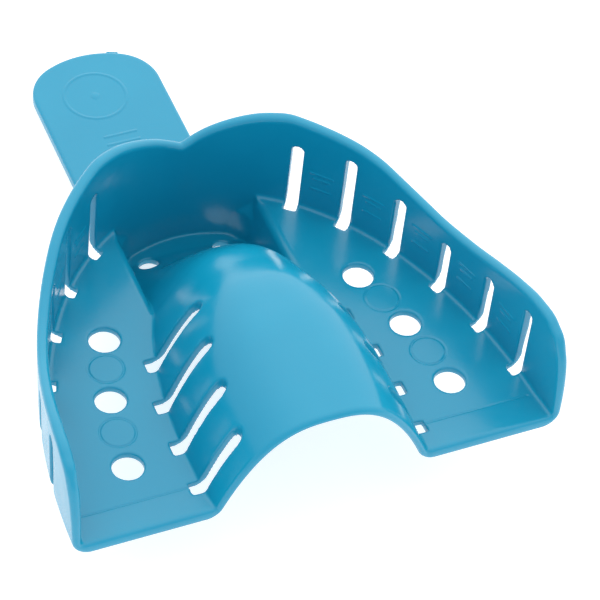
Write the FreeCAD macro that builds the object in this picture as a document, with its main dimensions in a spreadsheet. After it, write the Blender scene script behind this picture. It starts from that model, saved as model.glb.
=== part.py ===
import FreeCAD, Part
import math
import os
import Sketcher

from FreeCAD import Vector
from types import SimpleNamespace

# Upper impression tray, one thin injection moulding with a flat handle.
# Millimetres. The origin is on the midline at the rear edge, on the fitting face of the side floors.
# +X is the patient's left, +Y points to the front teeth and the handle, +Z into the arch.
# The moulding is described region by region. Neighbouring regions meet face to face.

SIZES = [
    ("arch_half_width", 38.8, "midline to the inner face of a cheek wall, at the rear edge"),
    ("arch_length", 62.1, "rear edge to the inner face of the front wall, on the midline"),
    ("wall_foot", 1.25, "thickness of the outer wall at its foot"),
    ("wall_rim", 2.0, "thickness of the outer wall at its rim"),
    ("foot_round", 3.0, "radius under the outer wall, where it turns into the side floor"),
    ("foot_fillet", 1.3, "radius inside the outer wall's foot"),
    ("wall_tall", 20.0, "height over which the wall thickens from its foot to its rim"),
    ("floor_thick", 1.3, "thickness of the side floors and of the trough"),
    ("heel_length", 6.1, "length of the rising heel at the rear of each side floor"),
    ("heel_rise", 1.0, "how far the heel rises above the side floor"),
    ("tongue_half", 17.8, "midline to the foot of the tongue wall, at the rear edge"),
    ("tongue_straight", 12.5, "straight part of the tongue wall's foot, from the rear edge"),
    ("vault_thick", 1.4, "thickness of the palate vault and the tongue walls"),
    ("vault_split", 7.6, "midline to the seam between the vault and a tongue wall"),
    ("trough_half", 12.3, "midline to the top of the ramp into the front trough"),
    ("trough_length", 21.8, "length of the front trough, back from the front wall"),
    ("trough_level", 3.6, "length of the trough's level end, back from the front wall"),
    ("front_slope_gap", 8.5, "front wall back to the seam between the trough floor and the vault"),
    ("trough_depth", 9.6, "depth of the front trough below the side floors"),
    ("ramp_lean", 0.2, "how far a ramp leans inward for each millimetre down"),
    ("cheek_slot_width", 2.2, "width of a cheek slot"),
    ("cheek_slot_inset", 1.5, "how far a cheek slot runs into the side floor"),
    ("cheek_slot_below_rim", 3.35, "from a cheek slot's round top to the rim above it"),
    ("cheek_slot_first_top", 13.2, "height of the first cheek slot's round top above the side floors"),
    ("cheek_slot_rise", 0.1, "how much higher a slot's top may reach for each degree behind the first"),
    ("cheek_slot_start", 26.6, "ellipse angle of the first cheek slot, degrees"),
    ("cheek_slot_step", 11.4, "ellipse angle from the first cheek slot to the second, degrees"),
    ("cheek_slot_fade", 0.45, "how much each further step is smaller than the one before, degrees"),
    ("tongue_slot_width", 2.5, "width of a tongue slot"),
    ("tongue_slot_first", 5.6, "rear edge to the centre of the rearmost tongue slot"),
    ("tongue_slot_front_gap", 9.95, "start of the front trough back to the centre of the foremost tongue slot"),
    ("tongue_slot_share", 0.674, "inner end of the rearmost tongue slot, as a share of the foot's half width"),
    ("tongue_slot_creep", 0.034, "how much that share falls from one tongue slot to the next"),
    ("tongue_slot_outset", 1.7, "how far a tongue slot runs into the side floor"),
    ("hole_radius", 2.5, "radius of the side floor holes"),
    ("hole_row_half", 27.5, "half width of the ellipse that the floor holes lie on"),
    ("hole_row_length", 61.4, "length of the ellipse that the floor holes lie on"),
    ("ejector_radius", 2.9, "radius of the ejector pin marks"),
    ("mark_height", 0.12, "height of a mark on a face"),
    ("front_hole_radius", 1.65, "radius of the trough holes"),
    ("front_hole_out", 6.5, "midline to the centre of a trough hole"),
    ("front_hole_back", 4.7, "front wall to the centre of a trough hole"),
    ("handle_half_width", 11.4, "half width of the handle"),
    ("handle_length", 46.6, "front wall's inner face to the handle's tip"),
    ("handle_thick", 2.0, "thickness of the handle"),
    ("handle_drop", 10.7, "side floors down to the top face of the handle"),
    ("handle_corner", 8.0, "radius of the handle's corners"),
    ("handle_tip_radius", 16.0, "radius of the handle's tip"),
    ("size_ring_radius", 5.6, "outer radius of the raised ring on the handle"),
    ("size_ring_width", 0.45, "width of the raised lines on the handle"),
    ("size_ring_back", 10.3, "handle tip to the centre of the raised ring"),
    ("size_ring_offset", 1.0, "midline to the centre of the raised ring, towards the tray's right side"),
    ("size_pip_radius", 0.9, "radius of the raised dot inside the ring"),
    ("rib_length", 6.0, "length of a grip rib"),
    ("rib_back", 20.0, "handle tip to the first grip rib"),
    ("rib_pitch", 1.9, "spacing of the grip ribs"),
    ("nub_width", 2.0, "width of the gate stub on the handle's tip"),
    ("nub_stub", 0.5, "how far the gate stub stands out"),
    ("nub_turn", 20.0, "angle of the gate stub round the handle's tip, from the midline, degrees"),
]

# Height of the rim above the side floors, by ellipse angle: 0 at the midline, 90 at the rear edge.
RIM_STATIONS = [
    (0.0, 12.7),
    (4.0, 13.9),
    (11.0, 16.2),
    (18.0, 17.9),
    (25.0, 18.9),
    (33.0, 18.1),
    (41.0, 17.3),
    (49.0, 15.0),
    (57.0, 13.1),
    (65.0, 13.3),
    (75.0, 15.7),
    (80.5, 16.8),
    (84.5, 16.4),
    (87.3, 14.0),
    (89.0, 9.4),
    (90.0, 3.0),
]

# The vault along its length: part of the arch length, crown height, fullness, foot softness.
VAULT_STATIONS = [
    (-0.03, 16.2, 2.6, 1.0),
    (0.00, 16.4, 2.65, 1.0),
    (0.10, 17.1, 3.0, 1.0),
    (0.22, 17.7, 3.1, 1.0),
    (0.35, 17.8, 3.0, 1.0),
    (0.47, 16.6, 2.65, 1.0),
    (0.56, 14.0, 2.5, 1.0),
    (0.65, 11.1, 2.5, 1.05),
    (0.74, 5.4, 2.4, 1.2),
    (0.82, -0.8, 2.3, 1.45),
    (0.87, -4.9, 2.2, 1.6),
    (0.925, -7.7, 2.0, 1.8),
    (1.00, -9.25, 2.0, 1.8),
    (1.05, -9.4, 2.0, 1.8),
]
VAULT_ACROSS = (0.0, 0.2, 0.4, 0.55, 0.7, 0.8, 0.9, 1.0, 1.1)

SIDES = {"left": 1.0, "right": -1.0}
CHEEK_SLOTS = 6
TONGUE_SLOTS = 4
GRIP_RIBS = 3
ROW_START = 52.2
ROW_STEP = 6.43
FAR = 120.0
REACH = 6.0
WALL_END = 96
WALL_STEP = 8
HAIR = 0.01
TOLERANCE = 0.001
SOFT_RANGE = 0.5


def fill_sheet(doc):
    """Write every driving dimension into the document's spreadsheet."""
    sheet = doc.addObject("Spreadsheet::Sheet", "Sizes")
    for row, (alias, value, note) in enumerate(SIZES, start=1):
        sheet.set("A%d" % row, alias)
        sheet.set("B%d" % row, repr(value))
        sheet.set("C%d" % row, note)
        sheet.setAlias("B%d" % row, alias)
    doc.recompute()
    return sheet


def mirrored(shape):
    return shape.mirror(Vector(0, 0, 0), Vector(1, 0, 0))


def box(low, high):
    size = [top - bottom for bottom, top in zip(low, high)]
    return Part.makeBox(size[0], size[1], size[2], Vector(*low))


def smooth_curve(points):
    curve = Part.BSplineCurve()
    curve.interpolate(points)
    return curve


def ellipse_point(size, thickness, angle):
    """Point at an ellipse angle on the wall's plan, a thickness outside its inner face."""
    turn = math.radians(angle)
    across = (size.arch_half_width + thickness) * math.sin(turn)
    along = (size.arch_length + thickness) * math.cos(turn)
    return Vector(across, along, 0)


def ellipse_normal(size, angle):
    turn = math.radians(angle)
    across = math.sin(turn) / size.arch_half_width
    along = math.cos(turn) / size.arch_length
    return Vector(across, along, 0).normalize()


def wall_curve(size, thickness, level):
    """Plan of the outer wall at a level: half an ellipse from heel to heel, run on past the rear edge."""
    turns = range(-WALL_END, WALL_END + 1, WALL_STEP)
    return smooth_curve([ellipse_point(size, thickness, turn) + Vector(0, 0, level) for turn in turns])


def wall_outline(size, thickness, level):
    """The wall's plan closed by a straight line behind the rear edge."""
    curve = wall_curve(size, thickness, level)
    chord = Part.LineSegment(curve.EndPoint, curve.StartPoint)
    return Part.Wire([curve.toShape(), chord.toShape()])


def inside_wall(size, thickness=0.0, bottom=-FAR, top=FAR):
    """Upright prism over everything inside the wall's plan."""
    return Part.Face(wall_outline(size, thickness, bottom)).extrude(Vector(0, 0, top - bottom))


def round_foot(shape, radius, level):
    """Round the curved edge that runs round a shape at a level."""
    edges = []
    for edge in shape.Edges:
        bounds = edge.BoundBox
        if abs(bounds.ZMin - level) < HAIR and bounds.ZLength < HAIR and bounds.YLength > HAIR:
            edges.append(edge)
    return shape.makeFillet(radius, edges)


def half_ellipse_prism(half_width, length, start):
    """Upright prism over the front half of an ellipse whose centre is on the midline at start."""
    turns = range(-WALL_END, WALL_END + 1, WALL_STEP)
    points = []
    for turn in turns:
        angle = math.radians(turn)
        points.append(Vector(half_width * math.sin(angle), start + length * math.cos(angle), -FAR))
    curve = smooth_curve(points)
    chord = Part.LineSegment(curve.EndPoint, curve.StartPoint)
    outline = Part.Wire([curve.toShape(), chord.toShape()])
    return Part.Face(outline).extrude(Vector(0, 0, 2 * FAR))


def rim_height(angle):
    """Height of the rim above the side floors at an ellipse angle."""
    for (low, low_z), (high, high_z) in zip(RIM_STATIONS, RIM_STATIONS[1:]):
        if low <= angle <= high:
            return low_z + (high_z - low_z) * (angle - low) / (high - low)
    raise ValueError("angle %s is off the rim" % angle)


def above_rim(size):
    """Everything above the rim, on both sides: the tool that gives the walls their top."""
    inside = []
    outside = []
    for angle, height in RIM_STATIONS:
        lift = Vector(0, 0, height)
        inside.append(ellipse_point(size, -REACH, angle) + lift)
        outside.append(ellipse_point(size, size.wall_rim + REACH, angle) + lift)
    drop = Vector(0, -REACH, 0)
    inside.append(inside[-1] + drop)
    outside.append(outside[-1] + drop)
    surface = Part.makeRuledSurface(smooth_curve(inside).toShape(), smooth_curve(outside).toShape())
    left = surface.extrude(Vector(0, 0, FAR))
    return left.fuse(mirrored(left))


def wall_body(size):
    """Solid inside the outer wall's outer face, drafted from foot to rim."""
    return Part.makeLoft([wall_outline(size, size.wall_foot, -size.floor_thick),
                          wall_outline(size, size.wall_rim, size.wall_tall)], True, True)


def trimmed(size, wall):
    """A wall with its rear end cut square and its top cut to the rim."""
    front_half = box((-FAR, 0, -FAR), (FAR, FAR, FAR))
    return wall.common(front_half).cut(above_rim(size))


def wall_seam(size):
    """Half width of the front wall, where a cheek wall begins."""
    return size.trough_half + size.floor_thick * (1 - size.ramp_lean)


def ramp_plan(size, offset, bottom):
    """Prism whose side faces lean like the ramps, an offset outside the ramps' faces."""
    half = size.trough_half + offset
    low_half = half + size.ramp_lean * bottom
    corners = [(-low_half, bottom), (low_half, bottom), (half, 0), (half, FAR), (-half, FAR), (-half, 0)]
    start = trough_start(size)
    outline = Part.makePolygon([Vector(x, start, z) for x, z in corners + corners[:1]])
    return Part.Face(outline).extrude(Vector(0, FAR, 0))


def trough_start(size):
    return size.arch_length - size.trough_length


def front_wall(size):
    """Wall across the front trough, with the flat block that the handle grows from."""
    foot = size.handle_drop + size.handle_thick
    skirt = inside_wall(size, size.wall_foot, -foot, -size.floor_thick)
    wall = trimmed(size, skirt.fuse(wall_body(size)).cut(inside_wall(size)))
    half = wall_seam(size)
    low_half = half - size.ramp_lean * (foot - size.floor_thick)
    corners = [(-low_half, -foot), (low_half, -foot), (half, -size.floor_thick), (half, FAR),
               (-half, FAR), (-half, -size.floor_thick)]
    outline = Part.makePolygon([Vector(x, 0, z) for x, z in corners + corners[:1]])
    reach = Part.Face(outline).extrude(Vector(0, FAR, 0))
    root_y = size.arch_length + size.wall_foot
    block = box((-size.handle_half_width, trough_start(size), -foot),
                (size.handle_half_width, root_y, -size.handle_drop))
    return wall.common(reach).fuse(block.cut(inside_wall(size)))


def cheek_slot(size, angle):
    """Cutter for one slot, square to the wall, with a round top."""
    normal = ellipse_normal(size, angle)
    radius = size.cheek_slot_width / 2
    highest = size.cheek_slot_first_top + size.cheek_slot_rise * (angle - size.cheek_slot_start)
    top = min(rim_height(angle) - size.cheek_slot_below_rim, highest)
    straight = top - radius
    length = size.cheek_slot_inset + REACH
    slab = box((-size.cheek_slot_inset, -radius, -REACH), (REACH, radius, straight))
    crown = Part.makeCylinder(radius, length, Vector(-size.cheek_slot_inset, 0, straight), Vector(1, 0, 0))
    cutter = slab.fuse(crown)
    cutter.rotate(Vector(0, 0, 0), Vector(0, 0, 1), math.degrees(math.atan2(normal.y, normal.x)))
    cutter.translate(ellipse_point(size, 0, angle))
    return cutter


def cheek_slots(size):
    """Cutters for the slots of one cheek wall, a little closer together towards the rear."""
    cutters = []
    angle = size.cheek_slot_start
    for number in range(CHEEK_SLOTS):
        cutters.append(cheek_slot(size, angle))
        angle += size.cheek_slot_step - number * size.cheek_slot_fade
    return Part.makeCompound(cutters)


def tongue_slots(size):
    """Cutters for the slots of one tongue wall: straight down, with a round upper end."""
    radius = size.tongue_slot_width / 2
    last = trough_start(size) - size.tongue_slot_front_gap
    pitch = (last - size.tongue_slot_first) / (TONGUE_SLOTS - 1)
    cutters = []
    for number in range(TONGUE_SLOTS):
        along = size.tongue_slot_first + number * pitch
        half = tongue_half_width(size, along)
        share = size.tongue_slot_share - number * size.tongue_slot_creep
        inner = half * share + radius
        slab = box((inner, along - radius, -REACH), (half + size.tongue_slot_outset, along + radius, FAR))
        end = Part.makeCylinder(radius, FAR + REACH, Vector(inner, along, -REACH))
        cutters.append(slab.fuse(end))
    return Part.makeCompound(cutters)


def rounded_body(size):
    """Solid inside the outer wall's outer face, rounded underneath."""
    return round_foot(wall_body(size), size.foot_round, -size.floor_thick)


def cheek_wall(size, body):
    """Left outer wall, from the front wall to the heel, with its rounded foot and its slots."""
    inside = round_foot(inside_wall(size, 0, 0), size.foot_fillet, 0)
    foot_reach = size.foot_round - size.wall_foot + size.floor_thick - size.foot_fillet + HAIR
    side = box((wall_seam(size), 0, -size.floor_thick), (FAR, FAR, FAR))
    shell = body.cut([inside, inside_wall(size, -foot_reach)])
    return trimmed(size, shell).common(side).cut(cheek_slots(size))


def tongue_bulge(size):
    """Length of the ellipse that carries the tongue wall's foot from its straight part to the trough."""
    narrowing = size.trough_half / size.tongue_half
    return (trough_start(size) - size.tongue_straight) / math.sqrt(1 - narrowing ** 2)


def tongue_half_width(size, along):
    """Midline to the foot of the tongue wall or ramp, at a distance from the rear edge."""
    if along <= size.tongue_straight:
        return size.tongue_half
    if along >= trough_start(size):
        return size.trough_half + size.ramp_lean * valley_level(size, along)
    part = (along - size.tongue_straight) / tongue_bulge(size)
    return size.tongue_half * math.sqrt(1 - part ** 2)


def valley_level(size, along):
    """Level of the foot of the vault: the side floors, then sloping down into the trough."""
    slope_length = size.trough_length - size.trough_level
    part = (along - trough_start(size)) / slope_length
    return -size.trough_depth * min(max(part, 0.0), 1.0)


def between_floors(size):
    """Upright prism over the gap between the two side floors."""
    rear = box((-size.tongue_half, -REACH, -FAR), (size.tongue_half, size.tongue_straight, FAR))
    front = box((-size.trough_half, -REACH, -FAR), (size.trough_half, FAR, FAR))
    bulge = half_ellipse_prism(size.tongue_half, tongue_bulge(size), size.tongue_straight)
    return rear.fuse([front, bulge])


def side_space(size, body, left_cheek):
    """Space that the left side floor and its heel may fill."""
    left_half = box((0, 0, -FAR), (FAR, FAR, FAR))
    space = inside_wall(size).common(body).common(left_half)
    return space.cut([between_floors(size), left_cheek, cheek_slots(size), tongue_slots(size)])


def row_point(size, number):
    """Centre of a hole or ejector mark in the row along a side floor."""
    turn = math.radians(ROW_START + ROW_STEP * number)
    return Vector(size.hole_row_half * math.sin(turn), size.hole_row_length * math.cos(turn), 0)


def floor_holes(size):
    cutters = []
    for number in (0, 2, 4):
        start = row_point(size, number) - Vector(0, 0, REACH)
        cutters.append(Part.makeCylinder(size.hole_radius, 2 * REACH, start))
    for number in (1, 3):
        start = row_point(size, number) - Vector(0, 0, size.mark_height)
        disc = Part.makeCylinder(size.ejector_radius, REACH, start)
        core = Part.makeCylinder(size.ejector_radius - 2 * size.mark_height, REACH, start)
        cutters.append(disc.cut(core))
    return Part.makeCompound(cutters)


def side_floor(size, space):
    """Left side floor, with its row of holes and ejector marks."""
    slab = box((0, size.heel_length, -size.floor_thick), (FAR, FAR, 0))
    return space.common(slab).cut(floor_holes(size))


def heel(size, space):
    """Rear end of the left side floor, rising to the rear edge."""
    corners = [(0, -size.floor_thick), (size.heel_length, -size.floor_thick), (size.heel_length, 0),
               (0, size.heel_rise)]
    outline = Part.makePolygon([Vector(0, y, z) for y, z in corners + corners[:1]])
    wedge = Part.Face(outline).extrude(Vector(FAR, 0, 0))
    return space.common(wedge)


def vault_section(size, share, crown, fullness, softness):
    """Points across the vault's upper face at one station, from right to left."""
    along = share * size.arch_length
    half = tongue_half_width(size, along)
    base = valley_level(size, along)
    sharpness = max(0.0, 1 - (softness - 1) / SOFT_RANGE)
    flank = fullness * (crown - base) / half * sharpness
    points = []
    for part in VAULT_ACROSS:
        if part <= 1:
            height = base + (crown - base) * (1 - part ** fullness) ** softness
        else:
            height = base - flank * half * (part - 1)
        points.append(Vector(part * half, along, height))
    mirror_points = [Vector(-point.x, point.y, point.z) for point in reversed(points[1:])]
    return mirror_points + points


def vault_face(size):
    """Upper face of the vault and the trough, a little past its edges all round."""
    surface = Part.BSplineSurface()
    surface.interpolate([vault_section(size, *station) for station in VAULT_STATIONS])
    return surface.toShape()


def vault_region(size):
    """Space that the vault, tongue walls and trough may fill."""
    start = trough_start(size)
    lowest = -size.trough_depth - size.floor_thick
    level_start = size.arch_length - size.trough_level
    profile = [(0, -size.floor_thick), (start, -size.floor_thick), (level_start, lowest),
               (FAR, lowest), (FAR, FAR), (0, FAR)]
    outline = Part.makePolygon([Vector(-FAR, y, z) for y, z in profile + profile[:1]])
    side_view = Part.Face(outline).extrude(Vector(2 * FAR, 0, 0))
    rear = between_floors(size).common(box((-FAR, 0, -FAR), (FAR, start, FAR)))
    front = ramp_plan(size, size.floor_thick, lowest)
    return rear.fuse(front).common(side_view).common(inside_wall(size))


def palate(size, left_floor, left_heel):
    """The vault, tongue walls and trough as one shell."""
    shell = vault_face(size).makeOffsetShape(size.vault_thick, TOLERANCE, fill=True)
    floors = [left_floor, left_heel, mirrored(left_floor), mirrored(left_heel)]
    return shell.common(vault_region(size)).cut(floors)


def trough_holes(size):
    cutters = []
    along = size.arch_length - size.front_hole_back
    for side in SIDES.values():
        start = Vector(side * size.front_hole_out, along, -FAR)
        cutters.append(Part.makeCylinder(size.front_hole_radius, FAR, start))
    return Part.makeCompound(cutters)


def palate_regions(size, shell):
    """The palate shell cut into the vault, both tongue walls, the front slope and the trough floor."""
    start = trough_start(size)
    slope_end = size.arch_length - size.front_slope_gap
    middle = box((-size.vault_split, 0, -FAR), (size.vault_split, start, FAR))
    beside = box((size.vault_split, 0, -FAR), (FAR, start, FAR))
    slope = box((-FAR, start, -FAR), (FAR, slope_end, FAR))
    level = box((-FAR, slope_end, -FAR), (FAR, FAR, FAR))
    left_tongue = shell.common(beside).cut(tongue_slots(size))
    return {
        "palate_vault": shell.common(middle),
        "left_tongue_wall": left_tongue,
        "right_tongue_wall": mirrored(left_tongue),
        "vault_front_slope": shell.common(slope),
        "trough_floor": shell.common(level).cut(trough_holes(size)),
    }


def trough_ramp(size, left_floor, left_cheek):
    """Left ramp from the side floor down into the trough."""
    lowest = -size.handle_drop - size.handle_thick
    plate = ramp_plan(size, size.floor_thick, lowest).cut(ramp_plan(size, 0, lowest))
    left = box((0, 0, lowest), (FAR, FAR, 0))
    under_vault = vault_face(size).extrude(Vector(0, 0, -FAR))
    return plate.common(left).common(inside_wall(size)).cut([under_vault, left_floor, left_cheek])


def row_placement(size):
    """The row's frame: origin under the middle of the tray, at the handle's underside."""
    middle = (size.arch_length + size.handle_length) / 2
    return FreeCAD.Placement(Vector(0, -middle, size.handle_drop + size.handle_thick), FreeCAD.Rotation())


def new_sketch(body, name, level):
    """Sketch on a body's own XY plane, raised to a level given as an expression."""
    plane = next(item for item in body.Origin.OriginFeatures if item.Role == "XY_Plane")
    sketch = body.newObject("Sketcher::SketchObject", name)
    sketch.AttachmentSupport = [(plane, "")]
    sketch.MapMode = "FlatFace"
    sketch.setExpression("AttachmentOffset.Base.z", level)
    return sketch


def name_constraint(sketch, constraint, name, expression):
    index = sketch.addConstraint(constraint)
    sketch.renameConstraint(index, name)
    sketch.setExpression("Constraints." + name, expression)


def handle_outline(sketch, size):
    """Straight sides, round corners and a round tip, all tangent."""
    root = size.arch_length + size.wall_foot
    tip_centre = size.arch_length + size.handle_length - size.handle_tip_radius
    reach = size.handle_tip_radius - size.handle_corner
    corner_x = size.handle_half_width - size.handle_corner
    turn = math.acos(corner_x / reach)
    corner_y = tip_centre + reach * math.sin(turn)
    half = size.handle_half_width
    right_corner = Part.Circle(Vector(corner_x, corner_y, 0), Vector(0, 0, 1), size.handle_corner)
    left_corner = Part.Circle(Vector(-corner_x, corner_y, 0), Vector(0, 0, 1), size.handle_corner)
    tip = Part.Circle(Vector(0, tip_centre, 0), Vector(0, 0, 1), size.handle_tip_radius)
    base = sketch.addGeometry(Part.LineSegment(Vector(-half, root, 0), Vector(half, root, 0)))
    right_side = sketch.addGeometry(Part.LineSegment(Vector(half, root, 0), Vector(half, corner_y, 0)))
    right_arc = sketch.addGeometry(Part.ArcOfCircle(right_corner, 0, turn))
    tip_arc = sketch.addGeometry(Part.ArcOfCircle(tip, turn, math.pi - turn))
    left_arc = sketch.addGeometry(Part.ArcOfCircle(left_corner, math.pi - turn, math.pi))
    left_side = sketch.addGeometry(Part.LineSegment(Vector(-half, corner_y, 0), Vector(-half, root, 0)))
    sketch.addConstraint(Sketcher.Constraint("Coincident", base, 2, right_side, 1))
    sketch.addConstraint(Sketcher.Constraint("Tangent", right_side, 2, right_arc, 1))
    sketch.addConstraint(Sketcher.Constraint("Tangent", right_arc, 2, tip_arc, 1))
    sketch.addConstraint(Sketcher.Constraint("Tangent", tip_arc, 2, left_arc, 1))
    sketch.addConstraint(Sketcher.Constraint("Tangent", left_arc, 2, left_side, 1))
    sketch.addConstraint(Sketcher.Constraint("Coincident", left_side, 2, base, 1))
    sketch.addConstraint(Sketcher.Constraint("Symmetric", base, 1, base, 2, -2))
    sketch.addConstraint(Sketcher.Constraint("Vertical", right_side))
    sketch.addConstraint(Sketcher.Constraint("Vertical", left_side))
    sketch.addConstraint(Sketcher.Constraint("Equal", right_arc, left_arc))
    sketch.addConstraint(Sketcher.Constraint("PointOnObject", tip_arc, 3, -2))
    name_constraint(sketch, Sketcher.Constraint("DistanceX", base, 1, base, 2, 2 * half),
                    "full_width", "2 * Sizes.handle_half_width")
    name_constraint(sketch, Sketcher.Constraint("DistanceY", -1, 1, base, 2, root),
                    "root", "Sizes.arch_length + Sizes.wall_foot")
    name_constraint(sketch, Sketcher.Constraint("DistanceY", -1, 1, tip_arc, 3, tip_centre),
                    "tip_centre", "Sizes.arch_length + Sizes.handle_length - Sizes.handle_tip_radius")
    name_constraint(sketch, Sketcher.Constraint("Radius", right_arc, size.handle_corner),
                    "corner_radius", "Sizes.handle_corner")
    name_constraint(sketch, Sketcher.Constraint("Radius", tip_arc, size.handle_tip_radius),
                    "tip_radius", "Sizes.handle_tip_radius")


def add_handle(doc, size):
    body = doc.addObject("PartDesign::Body", "handle")
    sketch = new_sketch(body, "handle_outline", "-Sizes.handle_drop - Sizes.handle_thick")
    handle_outline(sketch, size)
    pad = body.newObject("PartDesign::Pad", "handle_plate")
    pad.Profile = sketch
    pad.setExpression("Length", "Sizes.handle_thick")
    return body


def ring_circle(sketch, size, name, radius):
    """A circle round the ring's centre, whose place follows the sheet."""
    across = size.size_ring_offset
    along = size.arch_length + size.handle_length - size.size_ring_back
    circle = sketch.addGeometry(Part.Circle(Vector(-across, along, 0), Vector(0, 0, 1), radius))
    name_constraint(sketch, Sketcher.Constraint("DistanceX", circle, 3, -1, 1, across),
                    name + "_offset", "Sizes.size_ring_offset")
    name_constraint(sketch, Sketcher.Constraint("DistanceY", -1, 1, circle, 3, along), name + "_place",
                    "Sizes.arch_length + Sizes.handle_length - Sizes.size_ring_back")
    return circle


def add_size_ring(doc, size):
    """Plain raised ring on the handle's top face."""
    body = doc.addObject("PartDesign::Body", "size_ring")
    sketch = new_sketch(body, "ring_outline", "-Sizes.handle_drop")
    inner_radius = size.size_ring_radius - size.size_ring_width
    outer = ring_circle(sketch, size, "outer", size.size_ring_radius)
    inner = ring_circle(sketch, size, "inner", inner_radius)
    name_constraint(sketch, Sketcher.Constraint("Radius", outer, size.size_ring_radius),
                    "outer_radius", "Sizes.size_ring_radius")
    name_constraint(sketch, Sketcher.Constraint("Radius", inner, inner_radius),
                    "inner_radius", "Sizes.size_ring_radius - Sizes.size_ring_width")
    pad = body.newObject("PartDesign::Pad", "ring_pad")
    pad.Profile = sketch
    pad.setExpression("Length", "Sizes.mark_height")
    return body


def add_size_pip(doc, size):
    """Plain raised dot inside the ring."""
    body = doc.addObject("PartDesign::Body", "size_pip")
    sketch = new_sketch(body, "pip_outline", "-Sizes.handle_drop")
    pip = ring_circle(sketch, size, "pip", size.size_pip_radius)
    name_constraint(sketch, Sketcher.Constraint("Radius", pip, size.size_pip_radius),
                    "pip_radius", "Sizes.size_pip_radius")
    pad = body.newObject("PartDesign::Pad", "pip_pad")
    pad.Profile = sketch
    pad.setExpression("Length", "Sizes.mark_height")
    return body


def add_grip_rib(doc, number):
    """One of the short raised ribs across the handle."""
    rib = doc.addObject("Part::Box", "grip_rib_%d" % (number + 1))
    rib.setExpression("Length", "Sizes.rib_length")
    rib.setExpression("Width", "Sizes.size_ring_width")
    rib.setExpression("Height", "Sizes.mark_height")
    return rib


def place_grip_rib(rib, size, number, frame):
    along = size.arch_length + size.handle_length - size.rib_back - number * size.rib_pitch
    local = FreeCAD.Placement(Vector(-size.rib_length / 2, along, -size.handle_drop), FreeCAD.Rotation())
    rib.Placement = frame.multiply(local)


def gate_nub(size):
    """Stub left where the moulding was broken off its gate, at half the handle's thickness."""
    tip = size.arch_length + size.handle_length
    underside = -size.handle_drop - size.handle_thick
    centre = Vector(0, tip - size.handle_tip_radius, underside)
    rounding = Part.makeCylinder(size.handle_tip_radius, size.handle_thick, centre)
    margin = size.handle_thick / 4
    low = (-size.nub_width / 2, tip - REACH, underside + margin)
    high = (size.nub_width / 2, tip + size.nub_stub, -size.handle_drop - margin)
    stub = box(low, high)
    stub.rotate(centre, Vector(0, 0, 1), -size.nub_turn)
    return stub.cut(rounding)


def moulding_regions(size):
    """Every region that is shaped by the wall's and the vault's own curves."""
    body = rounded_body(size)
    left_cheek = cheek_wall(size, body)
    left_space = side_space(size, body, left_cheek)
    left_floor = side_floor(size, left_space)
    left_heel = heel(size, left_space)
    left_ramp = trough_ramp(size, left_floor, left_cheek)
    regions = {"front_wall": front_wall(size), "gate_nub": gate_nub(size)}
    regions.update(palate_regions(size, palate(size, left_floor, left_heel)))
    pairs = {"cheek_wall": left_cheek, "floor": left_floor, "heel": left_heel, "trough_ramp": left_ramp}
    for name, left in pairs.items():
        regions["left_" + name] = left
        regions["right_" + name] = mirrored(left)
    return regions


def only_solid(shape, name):
    solids = shape.Solids
    if len(solids) != 1:
        raise RuntimeError("%s is %d solids" % (name, len(solids)))
    return solids[0]


def build(doc):
    """Make every sub-part of the tray and return them by name."""
    sheet = fill_sheet(doc)
    size = SimpleNamespace(**{alias: float(sheet.get(alias)) for alias, value, note in SIZES})
    frame = row_placement(size)
    nodes = [add_handle(doc, size), add_size_ring(doc, size), add_size_pip(doc, size)]
    for body in nodes:
        body.Placement = frame
    for number in range(GRIP_RIBS):
        rib = add_grip_rib(doc, number)
        place_grip_rib(rib, size, number, frame)
        nodes.append(rib)
    for name, shape in moulding_regions(size).items():
        region = doc.addObject("Part::Feature", name)
        region.Shape = only_solid(shape, name)
        region.Placement = frame
        nodes.append(region)
    doc.recompute()
    return nodes


def check(doc, nodes):
    for item in doc.Objects:
        if "Invalid" in item.State or "Error" in item.State:
            raise RuntimeError("%s failed: %s" % (item.Name, item.State))
    for node in nodes:
        if node.Shape.isNull() or not node.Shape.isValid() or node.Shape.Volume <= 0:
            raise RuntimeError("%s has no good shape" % node.Label)


def main():
    doc = FreeCAD.newDocument("ImpressionTray")
    nodes = build(doc)
    check(doc, nodes)
    os.makedirs("parts", exist_ok=True)
    for node in nodes:
        node.Shape.exportStep("parts/%s.step" % node.Label)
        print(node.Label, round(node.Shape.Volume, 1))


main()
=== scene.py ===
import math

import bmesh
import bpy
import numpy as np
from mathutils import Matrix, Vector


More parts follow.
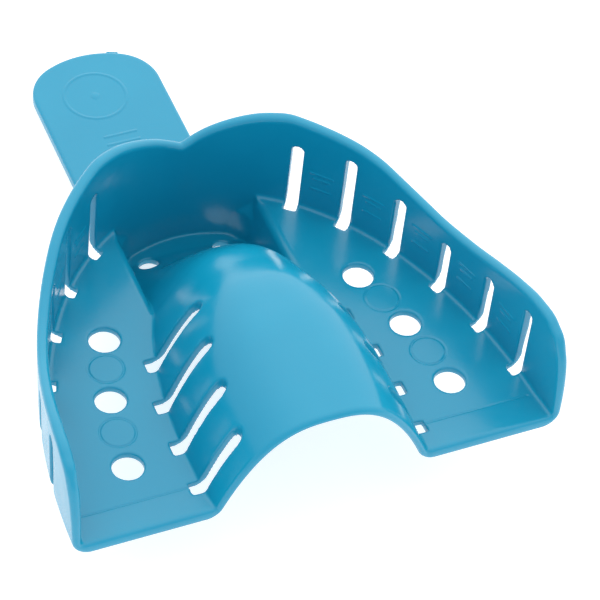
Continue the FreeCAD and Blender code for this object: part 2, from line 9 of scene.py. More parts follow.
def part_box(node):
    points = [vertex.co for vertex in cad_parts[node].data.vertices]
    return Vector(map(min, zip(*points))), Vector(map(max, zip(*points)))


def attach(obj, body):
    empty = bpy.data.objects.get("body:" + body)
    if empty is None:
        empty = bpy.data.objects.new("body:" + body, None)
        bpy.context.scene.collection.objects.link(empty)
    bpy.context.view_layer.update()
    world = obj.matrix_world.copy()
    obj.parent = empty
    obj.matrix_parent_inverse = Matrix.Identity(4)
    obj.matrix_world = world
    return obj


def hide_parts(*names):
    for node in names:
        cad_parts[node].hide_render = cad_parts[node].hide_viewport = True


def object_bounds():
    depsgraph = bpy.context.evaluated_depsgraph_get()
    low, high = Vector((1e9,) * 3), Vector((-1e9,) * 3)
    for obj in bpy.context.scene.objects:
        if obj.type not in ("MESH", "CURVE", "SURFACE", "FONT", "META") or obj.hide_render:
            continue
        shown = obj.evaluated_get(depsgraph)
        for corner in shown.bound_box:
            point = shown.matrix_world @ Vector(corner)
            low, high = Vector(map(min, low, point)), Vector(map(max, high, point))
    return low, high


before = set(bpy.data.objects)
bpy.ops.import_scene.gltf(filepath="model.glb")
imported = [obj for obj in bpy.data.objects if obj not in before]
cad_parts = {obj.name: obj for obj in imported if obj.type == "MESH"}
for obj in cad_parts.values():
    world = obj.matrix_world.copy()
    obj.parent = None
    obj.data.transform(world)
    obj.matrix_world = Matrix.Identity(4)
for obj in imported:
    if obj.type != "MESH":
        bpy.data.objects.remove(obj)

# Impression tray: the looks of one thin blue injection moulding.
# The moulding is described as a distance, negative inside the plastic, and meshed in one piece, so that
# its walls run into each other with the small fillets that a mould leaves.
# Lengths are millimetres in the tray's own frame: x across, y forward from the rear edge, z up from the
# side floors. They turn into metres in the CAD's frame when a mesh is made.

CAD_LOW, CAD_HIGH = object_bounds()
REAR_EDGE = CAD_LOW.y
FLOOR_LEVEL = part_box("left_floor")[1].z
MILLIMETRE = 0.001

ARCH_HALF_WIDTH = 38.8
ARCH_LENGTH = 62.1
WALL_FOOT = 1.25
WALL_DRAFT = 0.035
RIM_ROUND = 0.85
FLOOR_THICK = 1.3
FOOT_ROUND = 3.0
FOOT_FILLET = 0.7
REAR_ROUND = 0.95
HEEL_LENGTH = 6.1
HEEL_RISE = 1.0
TONGUE_HALF = 17.8
TONGUE_STRAIGHT = 12.5
VAULT_THICK = 1.4
TROUGH_HALF = 12.3
TROUGH_START = 40.3
TROUGH_SLOPE = 18.2
TROUGH_DEPTH = 9.6
RAMP_LEAN = 0.2
FILLET = 0.35
RAMP_ROUND = 1.2
RAMP_CORNER = 2.5
TONGUE_FOOT_ROUND = 2.0
SMALL_ROUND = 0.3
SLOT_ROUND = 0.15
CREASE_DEPTH = 0.45
CREASE_WIDTH = 2.2

CHEEK_SLOT_HALF = 1.05
CHEEK_SLOT_INSET = 1.5
CHEEK_SLOT_BELOW_RIM = 3.35
CHEEK_SLOT_FIRST_TOP = 13.2
CHEEK_SLOT_RISE = 0.1
CHEEK_SLOT_START = 26.6
CHEEK_SLOT_STEP = 11.4
CHEEK_SLOT_FADE = 0.45
CHEEK_SLOTS = 6
TONGUE_SLOT_HALF = 1.25
TONGUE_SLOT_FIRST = 5.6
TONGUE_SLOT_PITCH = 8.25
TONGUE_SLOT_SHARE = 0.674
TONGUE_SLOT_CREEP = 0.034
TONGUE_SLOT_OUTSET = 1.7
TONGUE_SLOTS = 4

ROW_HALF = 27.5
ROW_LENGTH = 61.4
ROW_START = 52.2
ROW_STEP = 6.43
HOLE_RADIUS = 2.5
EJECTOR_RADIUS = 2.8
TROUGH_HOLE = (6.5, 57.4, 1.65)

HANDLE_HALF = 11.4
HANDLE_TIP = 108.7
HANDLE_TOP = -10.7
HANDLE_BOTTOM = -12.7
HANDLE_CORNER = 8.0
HANDLE_TIP_RADIUS = 16.0
HANDLE_ROUND = 0.5
ROOT_FILLET = 1.2
RIBS = 3
RIB_BACK = 20.2
RIB_PITCH = 1.9
RIB_HALF = 2.8

# Raised and sunk marks: half width and height, below 0 where a mark is sunk.
PIN_GROOVE = (0.24, -0.13)
SLOPE_GROOVE = (0.22, -0.1)
HEEL_GROOVE = (0.2, -0.1)
BAR_LINE = (0.28, 0.1)
RING_LINE = (0.34, 0.12)
DOT = (0.9, 0.12)
RIB_LINE = (0.32, 0.12)

# Round marks: across, along and radius on the handle, along and radius on the trough's slope.
RING = (-1.0, 98.4, 5.4)
TROUGH_MARK = (54.1, 1.5)

# Height of the rim by ellipse angle: 0 on the midline, 90 at the rear edge.
RIM_STATIONS = [
    (0.0, 12.7), (4.0, 13.9), (7.0, 14.9), (11.0, 16.1), (14.6, 17.1), (18.0, 17.9), (21.0, 18.4),
    (24.5, 18.8), (28.5, 18.5), (33.0, 18.1), (36.5, 17.8), (40.0, 17.4), (44.0, 16.6), (49.0, 15.0),
    (54.0, 13.7), (58.0, 13.0), (62.0, 13.0), (65.0, 13.3), (70.0, 14.4), (75.0, 15.7), (80.0, 16.7),
    (84.5, 16.3), (87.3, 14.0), (89.0, 9.4), (90.0, 3.0),
]

# The vault along its length: part of the arch length, crown height, fullness, foot softness.
VAULT_STATIONS = [
    (-0.03, 16.2, 2.6, 1.0), (0.00, 16.4, 2.65, 1.0), (0.10, 17.1, 3.0, 1.0), (0.22, 17.7, 3.1, 1.0),
    (0.35, 17.8, 3.0, 1.0), (0.47, 16.6, 2.65, 1.0), (0.56, 14.0, 2.5, 1.0), (0.65, 11.1, 2.5, 1.05),
    (0.74, 5.4, 2.4, 1.2), (0.82, -1.2, 2.3, 1.45), (0.87, -5.4, 2.2, 1.6), (0.925, -8.1, 2.0, 1.8),
    (1.00, -9.25, 2.0, 1.8), (1.05, -9.4, 2.0, 1.8),
]

# Camera: turn, rise and roll in degrees, focal length in millimetres and place in metres.
CAMERA_ANGLES = (-27.68, 48.68, 7.18)
CAMERA_LENS = 184.84
CAMERA_PLACE = (-0.14011, -0.30626, 0.38202)

# Direction in which the studio is brightest.
BRIGHT_SIDE = (0.31, 0.58, 0.75)

# Raised bars between the cheek slots: height and half length.
BARS = [(8.4, 1.9), (7.3, 1.3), (5.0, 1.6)]

CELL = 0.3


# Shapes as distances

def both(a, b, radius=0.0):
    """Overlap of two shapes, its edge rounded to a radius."""
    corner = np.hypot(np.maximum(a + radius, 0), np.maximum(b + radius, 0))
    return np.minimum(np.maximum(a, b), -radius) + corner


def either(a, b, radius=0.0):
    """Two shapes joined, with a fillet of a radius in the corner between them."""
    corner = np.hypot(np.maximum(radius - a, 0), np.maximum(radius - b, 0))
    return np.maximum(np.minimum(a, b), radius) - corner


def ramp_up(value, start, end):
    """0 below start, 1 above end, straight between them."""
    return np.clip((value - start) / (end - start), 0, 1)


def smooth_table(stations, column, places):
    """A table's column as a smooth curve through its points, read at many places."""
    at = np.array([station[0] for station in stations])
    levels = np.array([station[column] for station in stations])
    slopes = np.gradient(levels, at)
    number = np.clip(np.searchsorted(at, places) - 1, 0, len(at) - 2)
    span = at[number + 1] - at[number]
    part = np.clip((places - at[number]) / span, 0, 1)
    rise = levels[number + 1] - levels[number]
    bend = (slopes[number] * span - rise) * (1 - part) + (rise - slopes[number + 1] * span) * part
    return levels[number] + rise * part + part * (1 - part) * bend


FINE_ANGLES = np.linspace(0, 90, 1801)
FINE_RIM = smooth_table(RIM_STATIONS, 1, FINE_ANGLES)
FINE_SHARES = np.linspace(-0.03, 1.05, 1081)
FINE_CROWN = smooth_table(VAULT_STATIONS, 1, FINE_SHARES)
FINE_FULLNESS = smooth_table(VAULT_STATIONS, 2, FINE_SHARES)
FINE_SOFTNESS = smooth_table(VAULT_STATIONS, 3, FINE_SHARES)


def wall_distance(x, y):
    """Distance outside the outer wall's inner face, whose plan is half an ellipse."""
    scaled = np.hypot(x / ARCH_HALF_WIDTH, y / ARCH_LENGTH) + 1e-6
    steepness = np.hypot(x / ARCH_HALF_WIDTH ** 2, y / ARCH_LENGTH ** 2) / scaled + 1e-6
    return (scaled - 1) / steepness


def ellipse_angle(x, y):
    return np.degrees(np.arctan2(np.abs(x) / ARCH_HALF_WIDTH, np.maximum(y, 0) / ARCH_LENGTH))


def rim_height(angle):
    return np.interp(angle, FINE_ANGLES, FINE_RIM)


def above_rim(x, y, z):
    """Distance above the rim, measured square to it."""
    angle = ellipse_angle(x, y)
    turn = np.radians(angle)
    arc = np.hypot(ARCH_HALF_WIDTH * np.cos(turn), ARCH_LENGTH * np.sin(turn))
    slope = np.interp(angle, FINE_ANGLES, np.degrees(np.gradient(FINE_RIM, FINE_ANGLES))) / arc
    return (z - rim_height(angle)) / np.hypot(1, slope)


def valley_level(y):
    """Level of the foot of the vault: the side floors, then sloping down into the front trough."""
    return -TROUGH_DEPTH * ramp_up(y, TROUGH_START, TROUGH_START + TROUGH_SLOPE)


def tongue_half_width(y):
    """Midline to the foot of the tongue wall or ramp."""
    bulge = (TROUGH_START - TONGUE_STRAIGHT) / math.sqrt(1 - (TROUGH_HALF / TONGUE_HALF) ** 2)
    part = np.clip((y - TONGUE_STRAIGHT) / bulge, 0, 0.99)
    rear = TONGUE_HALF * np.sqrt(1 - part ** 2)
    return np.where(y < TROUGH_START, rear, TROUGH_HALF + RAMP_LEAN * valley_level(y))


def vault_height(x, y):
    """Upper face of the vault and the trough floor."""
    share = y / ARCH_LENGTH
    fullness = np.interp(share, FINE_SHARES, FINE_FULLNESS)
    softness = np.interp(share, FINE_SHARES, FINE_SOFTNESS)
    base = valley_level(y)
    rise = np.interp(share, FINE_SHARES, FINE_CROWN) - base
    half = tongue_half_width(y)
    part = np.abs(x) / half
    arch = rise * (1 - np.minimum(part, 0.9999) ** fullness) ** softness
    flank = fullness * rise * ramp_up(1.5 - softness, 0, 0.5)
    return base + arch - flank * np.maximum(part - 1, 0)


def above_vault(x, y, z):
    """Distance above the vault's upper face."""
    reach = 0.05
    slope_x = (vault_height(x + reach, y) - vault_height(x - reach, y)) / (2 * reach)
    slope_y = (vault_height(x, y + reach) - vault_height(x, y - reach)) / (2 * reach)
    return (z - vault_height(x, y)) / np.sqrt(1 + slope_x ** 2 + slope_y ** 2)


def channel(x, y, z, wall, side):
    """Outer wall and side floors, from heel to heel."""
    thickness = WALL_FOOT + WALL_DRAFT * np.maximum(z + FLOOR_THICK, 0)
    heel = HEEL_RISE * ramp_up(HEEL_LENGTH - y, 0, HEEL_LENGTH)
    outside = both(wall - thickness, -FLOOR_THICK - z, FOOT_ROUND)
    hollow = both(wall, heel - z, FOOT_FILLET)
    shell = both(np.maximum(outside, -hollow), above_rim(x, y, z), RIM_ROUND)
    front_half = TROUGH_HALF + RAMP_LEAN * np.minimum(z, 0)
    half = np.where(y < TROUGH_START, tongue_half_width(y) - FILLET, front_half)
    gap = np.maximum(wall, side - half)
    edge = np.where(y < TROUGH_START, SMALL_ROUND, RAMP_ROUND)
    return both(shell, -gap, edge * ramp_up(-wall, 0.5, 1.5))


def front_skirt(z, wall, side):
    """Foot of the front wall, below the side floors."""
    band = np.abs(wall - WALL_FOOT / 2) - WALL_FOOT / 2
    reach = TROUGH_HALF + FLOOR_THICK + RAMP_LEAN * np.minimum(z, 0)
    return np.maximum(np.maximum(band, HANDLE_BOTTOM - z), np.maximum(z - 1, side - reach))


def ramps(y, z, wall, side, vault):
    """Leaning plates from the side floors down to the trough floor."""
    plate = np.abs(side - TROUGH_HALF - RAMP_LEAN * z - FLOOR_THICK / 2) - FLOOR_THICK / 2
    topped = both(plate, z, RAMP_ROUND)
    ends = np.maximum(TROUGH_START - 1 - y, wall - WALL_FOOT / 2)
    return np.maximum(np.maximum(topped, ends), -VAULT_THICK - vault)


def vault_shell(y, z, wall, side, vault):
    """Vault, tongue walls and trough floor."""
    sheet = np.maximum(vault, -VAULT_THICK - vault)
    under = valley_level(y) - FLOOR_THICK - z
    ramp_outside = TROUGH_HALF + FLOOR_THICK + RAMP_LEAN * np.minimum(z, 0)
    reach = np.where(y < TROUGH_START - 1, -1, side - ramp_outside)
    return np.maximum(np.maximum(sheet, under), np.maximum(reach, wall - WALL_FOOT / 2))


def handle(x, y, z, wall):
    """Flat handle with round corners and a round tip."""
    side = np.abs(x)
    tip_centre = HANDLE_TIP - HANDLE_TIP_RADIUS
    corner_x = HANDLE_HALF - HANDLE_CORNER
    corner_rise = math.sqrt((HANDLE_TIP_RADIUS - HANDLE_CORNER) ** 2 - corner_x ** 2)
    corner_y = tip_centre + corner_rise
    round_corner = np.hypot(side - corner_x, y - corner_y) - HANDLE_CORNER
    round_tip = np.hypot(side, y - tip_centre) - HANDLE_TIP_RADIUS
    end = np.where(side * corner_rise < (y - tip_centre) * corner_x, round_tip, round_corner)
    outline = np.where(y < corner_y, side - HANDLE_HALF, end)
    middle = (HANDLE_TOP + HANDLE_BOTTOM) / 2
    plate = both(outline, np.abs(z - middle) - (HANDLE_TOP - middle), HANDLE_ROUND)
    return np.maximum(plate, WALL_FOOT / 2 - wall)


def cheek_slot_angles():
    angles = [CHEEK_SLOT_START]
    for number in range(CHEEK_SLOTS - 1):
        angles.append(angles[-1] + CHEEK_SLOT_STEP - number * CHEEK_SLOT_FADE)
    return angles


def wall_point(angle):
    """Point on the plan of the wall's inner face, and the direction square to the wall."""
    turn = math.radians(angle)
    point = np.array([ARCH_HALF_WIDTH * math.sin(turn), ARCH_LENGTH * math.cos(turn)])
    square = np.array([math.sin(turn) / ARCH_HALF_WIDTH, math.cos(turn) / ARCH_LENGTH])
    return point, square / np.hypot(*square)


def cheek_slot(x, y, z, angle):
    """One slot, square to the wall and open below, with a round top."""
    point, square = wall_point(angle)
    out = (np.abs(x) - point[0]) * square[0] + (y - point[1]) * square[1]
    along = (np.abs(x) - point[0]) * square[1] - (y - point[1]) * square[0]
    highest = CHEEK_SLOT_FIRST_TOP + CHEEK_SLOT_RISE * (angle - CHEEK_SLOT_START)
    top = min(float(rim_height(angle)) - CHEEK_SLOT_BELOW_RIM, highest)
    above = np.maximum(z - (top - CHEEK_SLOT_HALF), 0)
    return both(np.hypot(along, above) - CHEEK_SLOT_HALF, -CHEEK_SLOT_INSET - out, SMALL_ROUND)


def tongue_slot(x, y, number):
    """One slot through a tongue wall and the edge of the floor."""
    centre = TONGUE_SLOT_FIRST + number * TONGUE_SLOT_PITCH
    half = float(tongue_half_width(np.array(centre)))
    inner = half * (TONGUE_SLOT_SHARE - number * TONGUE_SLOT_CREEP) + TONGUE_SLOT_HALF
    before = np.maximum(inner - np.abs(x), 0)
    outer = half + TONGUE_SLOT_OUTSET
    return both(np.hypot(before, y - centre) - TONGUE_SLOT_HALF, np.abs(x) - outer, SMALL_ROUND)


def row_point(number):
    """Centre of a hole or ejector mark in the row along a side floor."""
    turn = math.radians(ROW_START + ROW_STEP * number)
    return ROW_HALF * math.sin(turn), ROW_LENGTH * math.cos(turn)


def holes(x, y):
    """Round holes in the side floors and the trough."""
    rounds = [(*row_point(number), HOLE_RADIUS) for number in (0, 2, 4)] + [TROUGH_HOLE]
    found = None
    for across, along, radius in rounds:
        hole = np.hypot(np.abs(x) - across, y - along) - radius
        found = hole if found is None else np.minimum(found, hole)
    return found


def vault_fillet(y, z, vault):
    """Radius of the fillet round the vault's foot: none under the plastic, where nothing shows."""
    return FILLET * ramp_up(vault, -0.9, -0.3) * ramp_up(z - valley_level(y), -1.0, -0.2)


def ramp_fillet(z, side):
    """Radius of the corner between a ramp and the front wall: only inside the trough, below its edge."""
    inward = TROUGH_HALF + RAMP_LEAN * z + FLOOR_THICK / 2 - side
    return RAMP_CORNER * ramp_up(inward, 0, 0.6) * ramp_up(-z, 1.5, 4.0)


def root_fillet(z):
    """Radius where the handle meets the front wall: none on the flat underside."""
    return ROOT_FILLET * ramp_up(z, HANDLE_BOTTOM + 0.4, HANDLE_BOTTOM + 1.2)


def moulding(x, y, z, wall):
    """The tray without its openings and its handle."""
    side = np.abs(x)
    vault = above_vault(x, y, z)
    plates = np.minimum(channel(x, y, z, wall, side), front_skirt(z, wall, side))
    plates = either(plates, ramps(y, z, wall, side, vault), ramp_fillet(z, side))
    body = either(plates, vault_shell(y, z, wall, side, vault), vault_fillet(y, z, vault))
    under = both(-FLOOR_THICK - z, -VAULT_THICK - vault, TONGUE_FOOT_ROUND)
    return np.maximum(body, np.where(y < TROUGH_START - 2, under, -1))


def tray_distance(x, y, z):
    """Distance to the surface of the whole moulding, negative inside it."""
    crease = CREASE_DEPTH * np.exp(-(x / CREASE_WIDTH) ** 2)
    wall = wall_distance(x, y) + crease * ramp_up(z, -1, 12)
    body = moulding(x, y, z, wall)
    for angle in cheek_slot_angles():
        body = both(body, -cheek_slot(x, y, z, angle), SLOT_ROUND)
    for number in range(TONGUE_SLOTS):
        body = both(body, -tongue_slot(x, y, number), SLOT_ROUND)
    body = both(body, -holes(x, y), SMALL_ROUND)
    body = both(body, -y, REAR_ROUND)
    return either(body, handle(x, y, z, wall), root_fillet(z))


# Meshing

def sampled_field():
    """The distance on a regular grid round the tray, and the grid's first corner."""
    half_width, top, margin = 40.7, 19.0, 0.9
    low = np.array([-half_width - margin, -margin, HANDLE_BOTTOM - margin])
    high = np.array([half_width + margin, HANDLE_TIP + margin, top + margin])
    counts = np.ceil((high - low) / CELL).astype(int) + 1
    low[0] = -CELL * (counts[0] - 1) / 2
    axes = [low[axis] + CELL * np.arange(counts[axis]) for axis in range(3)]
    x, y, z = np.meshgrid(*axes, indexing="ij", sparse=True)
    field = np.full(counts, 5.0, dtype=np.float32)
    # In front of the body only the handle's levels are read; the rest stays far outside.
    body_end = int(np.searchsorted(axes[1], ARCH_LENGTH + 3.2))
    handle_top = int(np.searchsorted(axes[2], HANDLE_TOP + 2.0))
    step = 12
    for start in range(0, counts[1], step):
        rows = slice(start, min(start + step, counts[1]))
        levels = slice(0, counts[2] if start < body_end else handle_top)
        field[:, rows, levels] = tray_distance(x, y[:, rows], z[:, :, levels])
    return field, low


def corner_views(grid):
    """The grid's values at the eight corners of every cell."""
    views = []
    for corner in np.ndindex(2, 2, 2):
        views.append(grid[tuple(slice(offset, grid.shape[axis] - 1 + offset)
                                for axis, offset in enumerate(corner))])
    return views


def surface_net(field, low):
    """Quads through the cells that the surface passes: their points and their faces."""
    inside = field < 0
    corners = list(np.ndindex(2, 2, 2))
    filled = sum(view.astype(np.int8) for view in corner_views(inside))
    active = (filled > 0) & (filled < 8)
    cells = np.argwhere(active)
    values = np.stack([view[active] for view in corner_views(field)], axis=1)
    total = np.zeros((len(cells), 3))
    crossings = np.zeros(len(cells))
    for first in range(8):
        for second in range(first + 1, 8):
            step = np.array(corners[second]) - np.array(corners[first])
            if np.abs(step).sum() != 1:
                continue
            cut = (values[:, first] < 0) != (values[:, second] < 0)
            part = values[cut, first] / (values[cut, first] - values[cut, second])
            total[cut] += np.array(corners[first]) + part[:, None] * step
            crossings[cut] += 1
    points = low + CELL * (cells + total / crossings[:, None])
    number = np.full(active.shape, -1, dtype=np.int64)
    number[active] = np.arange(len(cells))
    return points, net_faces(inside, number)


def net_faces(inside, number):
    """One quad round each grid edge whose ends are on either side of the surface."""
    faces = []
    for axis in range(3):
        one, two = (axis + 1) % 3, (axis + 2) % 3
        here = [slice(None)] * 3
        there = [slice(None)] * 3
        here[axis], there[axis] = slice(None, -1), slice(1, None)
        start, end = inside[tuple(here)], inside[tuple(there)]
        edges = np.argwhere(start != end)
        leaves = start[tuple(edges.T)]
        ring = []
        for step_one, step_two in ((0, 0), (-1, 0), (-1, -1), (0, -1)):
            cell = edges.copy()
            cell[:, one] += step_one
            cell[:, two] += step_two
            ring.append(number[tuple(cell.T)])
        quads = np.stack(ring, axis=1)
        quads[~leaves] = quads[~leaves][:, ::-1]
        faces.append(quads)
    return np.concatenate(faces)


def distance_and_slope(points):
    """Distance at each point and the direction in which it grows."""
    reach = 0.02
    x, y, z = points.T
    slope = np.stack([
        tray_distance(x + reach, y, z) - tray_distance(x - reach, y, z),
        tray_distance(x, y + reach, z) - tray_distance(x, y - reach, z),
        tray_distance(x, y, z + reach) - tray_distance(x, y, z - reach),
    ], axis=1) / (2 * reach)
    return tray_distance(x, y, z), slope


def settle(points, limit):
    """Move points onto the surface, no further than a limit."""
    distance, slope = distance_and_slope(points)
    steepness = np.maximum((slope ** 2).sum(axis=1), 0.3)
    move = slope * (distance / steepness)[:, None]
    length = np.maximum(np.linalg.norm(move, axis=1), 1e-9)
    return points - move * np.minimum(1, limit / length)[:, None]


def relax(points, faces):
    """Move each point halfway to the middle of its neighbours, along the surface only."""
    following = np.roll(faces, -1, axis=1)
    first, second = faces.ravel(), following.ravel()
    count = np.bincount(first, minlength=len(points)) + np.bincount(second, minlength=len(points))
    middle = np.empty_like(points)
    for axis in range(3):
        gathered = np.bincount(first, points[second, axis], len(points))
        gathered += np.bincount(second, points[first, axis], len(points))
        middle[:, axis] = gathered / count
    move = (middle - points) / 2
    slope = distance_and_slope(points)[1]
    slope /= np.maximum(np.linalg.norm(slope, axis=1), 1e-6)[:, None]
    return points + move - slope * (move * slope).sum(axis=1)[:, None]


# Raised and sunk marks

def ring_line(x, y, across, along, radius):
    return np.abs(np.hypot(x - across, y - along) - radius)


def bar_line(across, along, half_length):
    """Distance from a short straight line."""
    return np.hypot(np.maximum(np.abs(across) - half_length, 0), along)


def only_where(condition):
    """0 where a mark may lie and far away elsewhere."""
    return np.where(condition, 0, 9)


def floor_marks(x, y, z):
    """Grooves in the side floors and on the trough's slope: ejector pins and the start of the heel."""
    side = np.abs(x)
    near_floor = np.abs(z) < 0.4
    found = []
    for number in (1, 3):
        across, along = row_point(number)
        pin = ring_line(side, y, across, along, EJECTOR_RADIUS)
        found.append((pin + only_where(near_floor), *PIN_GROOVE))
    on_slope = (np.abs(above_vault(x, y, z)) < 0.3) & (z < -2)
    along, radius = TROUGH_MARK
    found.append((ring_line(x, y, 0, along, radius) + only_where(on_slope), *SLOPE_GROOVE))
    on_heel = near_floor & (wall_distance(x, y) < -1.3) & (side > TONGUE_HALF + 0.6)
    found.append((np.abs(y - HEEL_LENGTH) + only_where(on_heel), *HEEL_GROOVE))
    return found


def wall_marks(x, y, z):
    """Plain raised bars between the cheek slots."""
    off_wall = only_where(np.abs(wall_distance(x, y)) < 0.3)
    angles = cheek_slot_angles()
    found = []
    for before, after in zip(angles, angles[1:]):
        point, square = wall_point((before + after) / 2)
        along = (np.abs(x) - point[0]) * square[1] - (y - point[1]) * square[0]
        for level, half_length in BARS:
            found.append((bar_line(along, z - level, half_length) + off_wall, *BAR_LINE))
    return found


def handle_marks(x, y, z):
    """Plain raised ring, dot and ribs on the handle."""
    off_handle = only_where(np.abs(z - HANDLE_TOP) < 0.4)
    across, along, radius = RING
    found = [(ring_line(x, y, across, along, radius) + off_handle, *RING_LINE)]
    found.append((np.hypot(x - across, y - along) + off_handle, *DOT))
    for number in range(RIBS):
        rib_at = HANDLE_TIP - RIB_BACK - RIB_PITCH * number
        found.append((bar_line(x, y - rib_at, RIB_HALF) + off_handle, *RIB_LINE))
    return found


def marks(x, y, z):
    """Every mark as its distance from each point, its half width and its height."""
    return floor_marks(x, y, z) + wall_marks(x, y, z) + handle_marks(x, y, z)


def mark_distance(points):
    """Distance from the nearest mark's edge."""
    x, y, z = points.T
    return np.min([distance - half for distance, half, height in marks(x, y, z)], axis=0)


def mark_heights(points):
    """How far each point stands out of the surface or lies under it."""
    x, y, z = points.T
    total = np.zeros(len(points))
    for distance, half, height in marks(x, y, z):
        total += height * np.clip(1 - (distance / half) ** 2, 0, 1)
    return total


def refine_near_marks(points, faces):
    """Split the faces round the marks finely enough to carry them."""
    mesh = bmesh.new()
    for point in points.tolist():
        mesh.verts.new(point)
    mesh.verts.ensure_lookup_table()
    for face in faces.tolist():
        mesh.faces.new([mesh.verts[index] for index in face])
    near = np.flatnonzero((mark_distance(points) < CELL)[faces].any(axis=1))
    mesh.faces.ensure_lookup_table()
    edges = {edge for index in near for edge in mesh.faces[index].edges}
    ordered = sorted(edges, key=lambda edge: (edge.verts[0].index, edge.verts[1].index))
    bmesh.ops.subdivide_edges(mesh, edges=ordered, cuts=2, use_grid_fill=True)
    return mesh


def to_cad_frame(point):
    x, y, z = (float(value) * MILLIMETRE for value in point)
    return Vector((x, y + REAR_EDGE, z + FLOOR_LEVEL))


def tray_mesh():
    """The moulding as one closed mesh in the CAD's frame."""
    points, faces = surface_net(*sampled_field())
    for _ in range(2):
        points = settle(points, CELL)
        points = settle(relax(points, faces), CELL / 2)
    split = refine_near_marks(settle(points, CELL / 2), faces)
    split.verts.ensure_lookup_table()
    places = np.array([vert.co[:] for vert in split.verts])
    marked = np.flatnonzero(mark_distance(places) < CELL)
    level = settle(places[marked], CELL / 4)
    slope = distance_and_slope(level)[1]
    slope /= np.maximum(np.linalg.norm(slope, axis=1), 1e-6)[:, None]
    places[marked] = level + slope * mark_heights(level)[:, None]
    for vert, place in zip(split.verts, places):
        vert.co = to_cad_frame(place)
    mesh = bpy.data.meshes.new("tray")
    split.to_mesh(mesh)
    split.free()
    mesh.shade_smooth()
    return mesh


# Materials

def new_material(name):
    material = bpy.data.materials.new(name)
    material.use_nodes = True
    nodes = material.node_tree.nodes
    return material, nodes, material.node_tree.links, nodes["Principled BSDF"]


def noise(nodes, links, scale, detail=3.0):
    place = nodes.new("ShaderNodeTexCoord")
    texture = nodes.new("ShaderNodeTexNoise")
    texture.inputs["Scale"].default_value = scale
    texture.inputs["Detail"].default_value = detail
    links.new(place.outputs["Object"], texture.inputs["Vector"])
    return texture.outputs["Fac"]


def blend_of(nodes, links, factor, low, high, start=0.3, end=0.7):
    """A value or colour that follows a factor, changing between its start and its end."""
    ramp = nodes.new("ShaderNodeValToRGB")
    ramp.color_ramp.elements[0].color = low
    ramp.color_ramp.elements[1].color = high
    ramp.color_ramp.elements[0].position = start
    ramp.color_ramp.elements[1].position = end
    links.new(factor, ramp.inputs["Fac"])
    return ramp.outputs["Color"]


def plastic():
    """Glossy blue moulded plastic: faint flow clouds, a slightly uneven gloss and a fine skin."""
    material, nodes, links, shader = new_material("tray_plastic")
    clouds = noise(nodes, links, 60)
    colour = blend_of(nodes, links, clouds, (0.004, 0.275, 0.425, 1), (0.005, 0.295, 0.45, 1))
    links.new(colour, shader.inputs["Base Color"])
    wear = noise(nodes, links, 240, 6)
    gloss = blend_of(nodes, links, wear, (0.18, 0.18, 0.18, 1), (0.26, 0.26, 0.26, 1))
    links.new(gloss, shader.inputs["Roughness"])
    shader.inputs["IOR"].default_value = 1.5
    bump = nodes.new("ShaderNodeBump")
    bump.inputs["Strength"].default_value = 0.12
    bump.inputs["Distance"].default_value = 0.0001
    links.new(noise(nodes, links, 900, 2), bump.inputs["Height"])
    links.new(bump.outputs["Normal"], shader.inputs["Normal"])
    return material


def paper():
    """Plain white studio floor, lit a little from below."""
    material, nodes, links, shader = new_material("studio_floor")
    tone = blend_of(nodes, links, noise(nodes, links, 3), (0.53, 0.53, 0.53, 1), (0.56, 0.56, 0.56, 1))
    links.new(tone, shader.inputs["Base Color"])
    shader.inputs["Emission Color"].default_value = (1, 1, 1, 1)
    shader.inputs["Emission Strength"].default_value = 0.7
    shader.inputs["Roughness"].default_value = 0.8
    return material


# Scene

def add_object(name, mesh):
    piece = bpy.data.objects.new(name, mesh)
    bpy.context.scene.collection.objects.link(piece)
    return piece


def add_tray(material):
    mesh = tray_mesh()
    mesh.materials.append(material)
    piece = add_object("tray_moulding", mesh)
    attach(piece, "root")
    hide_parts(*[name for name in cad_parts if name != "gate_nub"])
    return piece


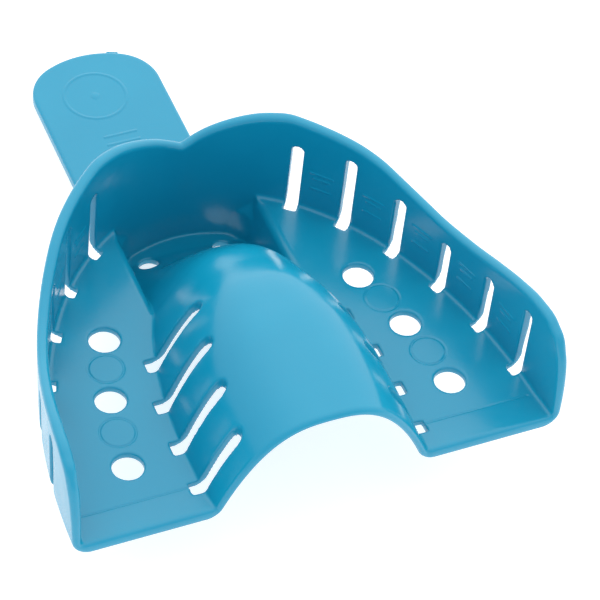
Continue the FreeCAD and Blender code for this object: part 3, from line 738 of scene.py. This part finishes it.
def add_floor():
    half = 1.5
    level = CAD_LOW.z - 0.0005
    mesh = bpy.data.meshes.new("studio_floor")
    corners = [(-half, -half, level), (half, -half, level), (half, half, level), (-half, half, level)]
    mesh.from_pydata(corners, [], [(0, 1, 2, 3)])
    mesh.materials.append(paper())
    add_object("studio_floor", mesh)


def add_camera():
    """Camera at the photograph's viewing angle and distance."""
    turn, rise, roll = (math.radians(angle) for angle in CAMERA_ANGLES)
    back = Vector((math.sin(turn) * math.cos(rise), -math.cos(turn) * math.cos(rise), math.sin(rise)))
    level = Vector((math.cos(turn), math.sin(turn), 0))
    upward = (-back).cross(level) * -1
    right = level * math.cos(roll) + upward * math.sin(roll)
    top = -level * math.sin(roll) + upward * math.cos(roll)
    data = bpy.data.cameras.new("camera")
    data.sensor_width = 36
    data.lens = CAMERA_LENS
    camera = bpy.data.objects.new("camera", data)
    bpy.context.scene.collection.objects.link(camera)
    camera.matrix_world = Matrix((right, top, back)).transposed().to_4x4()
    camera.matrix_world.translation = Vector(CAMERA_PLACE)
    bpy.context.scene.camera = camera


def add_light():
    """Soft surroundings: white and brightest above and behind the tray, dimmer and cooler in front."""
    world = bpy.data.worlds.new("studio")
    world.use_nodes = True
    bpy.context.scene.world = world
    nodes, links = world.node_tree.nodes, world.node_tree.links
    direction = nodes.new("ShaderNodeTexCoord").outputs["Generated"]
    towards = nodes.new("ShaderNodeVectorMath")
    towards.operation = "DOT_PRODUCT"
    towards.inputs[1].default_value = BRIGHT_SIDE
    links.new(direction, towards.inputs[0])
    colour = blend_of(nodes, links, towards.outputs["Value"], (0.43, 0.48, 0.56, 1), (1, 1, 1, 1), 0, 1)
    links.new(colour, nodes["Background"].inputs["Color"])
    nodes["Background"].inputs["Strength"].default_value = 1.8


def main():
    bpy.context.scene.view_settings.view_transform = "Standard"
    material = plastic()
    add_tray(material)
    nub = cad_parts["gate_nub"]
    nub.data.materials.clear()
    nub.data.materials.append(material)
    add_floor()
    add_camera()
    add_light()


main()
